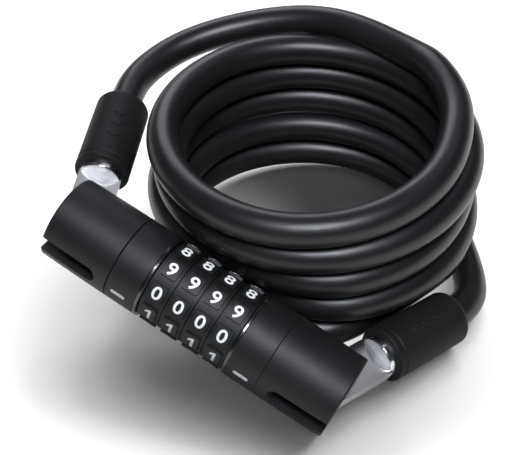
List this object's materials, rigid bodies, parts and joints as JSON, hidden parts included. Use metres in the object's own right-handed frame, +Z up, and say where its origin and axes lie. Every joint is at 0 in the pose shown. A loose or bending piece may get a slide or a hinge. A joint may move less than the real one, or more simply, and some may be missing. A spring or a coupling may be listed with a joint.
{
  "type": "cable lock",
  "caption": "Combination cable lock: round dial lock with a pull-out bolt half, swivelling sleeved cable ends and a coiled steel cable.",
  "frame": {"origin": "middle of the lock body and its two sleeves in plan, on the surface that the coil stands on", "axes": "+X along the lock body towards its low right end, +Y from the lock body to the coil, +Z up"},
  "size_m": [0.1584, 0.1485, 0.076],
  "materials": {
    "soft_touch_shell": "die-cast shell with a matte black soft-touch coat",
    "gloss_trim": "gloss black moulding",
    "white_mark": "white inlay",
    "dial_rubber": "dark grey matte moulding with raised pads",
    "brass_ring": "turned brass",
    "hard_steel": "hardened steel, ground",
    "chrome_fitting": "bright chrome on a steel forging",
    "sleeve_rubber": "matte black rubber",
    "cable_jacket": "satin black cable jacket",
    "steel_strand": "stranded steel"
  },
  "bodies": {
    "root": {"left_collar": "soft_touch_shell", "left_index_mark": "white_mark", "left_trim_ring": "gloss_trim", "barrel_core": "hard_steel", "click_springs": "hard_steel", "spring_washer": "hard_steel", "right_trim_ring": "gloss_trim", "right_collar": "soft_touch_shell", "right_index_mark": "white_mark", "core_circlip": "hard_steel", "right_end_cap": "soft_touch_shell", "right_cap_pin": "hard_steel", "right_swivel_pin": "hard_steel", "cable_coil": "cable_jacket", "left_lead": "cable_jacket", "right_lead": "cable_jacket"},
    "bolt_half": {"left_end_cap": "soft_touch_shell", "left_swivel_pin": "hard_steel", "locking_spindle": "hard_steel", "spindle_pin": "hard_steel"},
    "left_cable_end": {"left_end_fitting": "chrome_fitting", "left_sleeve": "sleeve_rubber", "left_cable_strand": "steel_strand", "left_cable_jacket": "cable_jacket"},
    "right_cable_end": {"right_end_fitting": "chrome_fitting", "right_sleeve": "sleeve_rubber", "right_cable_strand": "steel_strand", "right_cable_jacket": "cable_jacket"},
    "dial_ring_1": {"dial_1": "dial_rubber", "code_ring_1": "brass_ring"},
    "dial_ring_2": {"dial_2": "dial_rubber", "code_ring_2": "brass_ring"},
    "dial_ring_3": {"dial_3": "dial_rubber", "code_ring_3": "brass_ring"},
    "dial_ring_4": {"dial_4": "dial_rubber", "code_ring_4": "brass_ring"}
  },
  "joints": [
    {"name": "dial_1_turn", "type": "hinge", "parent": "root", "child": "dial_ring_1", "pos_m": [-0.01314, -0.0221, 0.0348], "axis": [0.9575, 0, -0.2885], "continuous": true},
    {"name": "dial_2_turn", "type": "hinge", "parent": "root", "child": "dial_ring_2", "pos_m": [-0.00481, -0.0221, 0.03229], "axis": [0.9575, 0, -0.2885], "continuous": true},
    {"name": "dial_3_turn", "type": "hinge", "parent": "root", "child": "dial_ring_3", "pos_m": [0.00352, -0.0221, 0.02978], "axis": [0.9575, 0, -0.2885], "continuous": true},
    {"name": "dial_4_turn", "type": "hinge", "parent": "root", "child": "dial_ring_4", "pos_m": [0.01185, -0.0221, 0.02727], "axis": [0.9575, 0, -0.2885], "continuous": true},
    {"name": "bolt_pull", "type": "slide", "parent": "root", "child": "bolt_half", "axis": [-0.9575, 0, 0.2885], "range_m": [0, 0.05], "deforming": ["left_lead"]},
    {"name": "left_end_swivel", "type": "hinge", "parent": "bolt_half", "child": "left_cable_end", "pos_m": [-0.04895, -0.0221, 0.04559], "axis": [0.2885, 0, 0.9575], "range_deg": [-4, 30]},
    {"name": "right_end_swivel", "type": "hinge", "parent": "root", "child": "right_cable_end", "pos_m": [0.04766, -0.0221, 0.01648], "axis": [0.2885, 0, 0.9575], "range_deg": [-25, 0], "deforming": ["right_lead"]}
  ]
}
